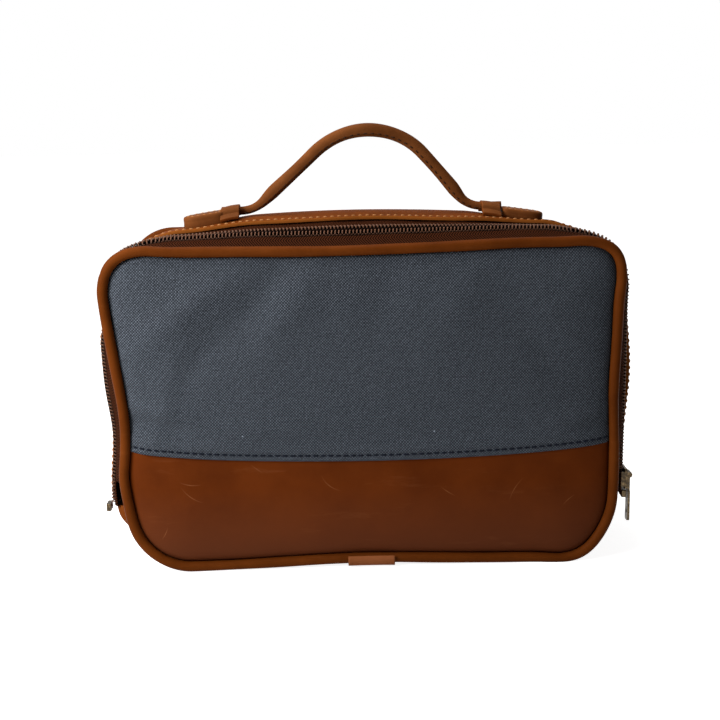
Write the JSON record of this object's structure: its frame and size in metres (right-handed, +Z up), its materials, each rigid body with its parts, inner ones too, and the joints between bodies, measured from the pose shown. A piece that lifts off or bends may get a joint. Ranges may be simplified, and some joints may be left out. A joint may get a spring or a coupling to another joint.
{
  "type": "toiletry bag",
  "caption": "Box-shaped toiletry bag in leather and canvas with a fold-down zipped front, piped seams and a rolled top handle.",
  "frame": {"origin": "middle of the flat leather base, on the surface that the bag stands on", "axes": "+X to the right along the front, +Y from the front panel to the back panel, +Z up"},
  "size_m": [0.2757, 0.1012, 0.2242],
  "materials": {
    "brown_leather": "waxed smooth leather",
    "tan_leather": "lighter tan leather",
    "blue_canvas": "slate plain-weave canvas",
    "zip_tape": "dark brown woven tape",
    "zip_coil": "dark brown nylon coil",
    "dark_metal": "antiqued dark brass",
    "lining_cloth": "plain brown lining",
    "padding": "light padding",
    "stiffener": "stiffening board and cord"
  },
  "bodies": {
    "bag": {"gusset_band": "brown_leather", "bottom_gusset": "brown_leather", "gusset_corner_left": "brown_leather", "gusset_corner_right": "brown_leather", "gusset_lining": "lining_cloth", "corner_lining_left": "lining_cloth", "corner_lining_right": "lining_cloth", "base_board": "stiffener", "base_lining": "lining_cloth", "back_piping": "brown_leather", "zip_tape_body": "zip_tape", "zip_coil_body": "zip_coil", "zip_end_left": "zip_tape", "zip_end_right": "zip_tape", "zip_stop_left": "dark_metal", "zip_stop_right": "dark_metal", "back_canvas": "blue_canvas", "back_leather": "brown_leather", "back_interlining": "padding", "back_foam": "padding", "back_board": "stiffener", "back_lining": "lining_cloth", "back_binding": "zip_tape", "handle_keeper_left": "brown_leather", "handle_keeper_right": "brown_leather", "handle_tab_left": "brown_leather", "handle_tab_right": "brown_leather"},
    "lid": {"front_canvas": "blue_canvas", "front_leather": "brown_leather", "front_interlining": "padding", "front_foam": "padding", "front_board": "stiffener", "front_lining": "lining_cloth", "front_binding": "zip_tape", "front_piping": "brown_leather", "front_piping_wrap": "tan_leather", "zip_tape_lid": "zip_tape", "zip_coil_lid": "zip_coil"},
    "handle": {"handle_grip": "brown_leather", "handle_core": "stiffener"},
    "slider": {"zip_slider": "dark_metal"},
    "puller": {"zip_puller": "dark_metal"}
  },
  "joints": [
    {"name": "lid_hinge", "type": "hinge", "parent": "bag", "child": "lid", "pos_m": [0, -0.044, 0.0026], "axis": [1, 0, 0], "range_deg": [0, 86]},
    {"name": "handle_fold", "type": "hinge", "parent": "bag", "child": "handle", "pos_m": [0, 0, 0.1814], "axis": [1, 0, 0], "range_deg": [-90, 90]},
    {"name": "slider_travel", "type": "slide", "parent": "bag", "child": "slider", "axis": [0, 0, 1], "range_m": [0, 0.0956]},
    {"name": "puller_flip", "type": "hinge", "parent": "slider", "child": "puller", "pos_m": [0.13715, -0.03, 0.042], "axis": [0, -1, 0], "range_deg": [0, 150]}
  ]
}
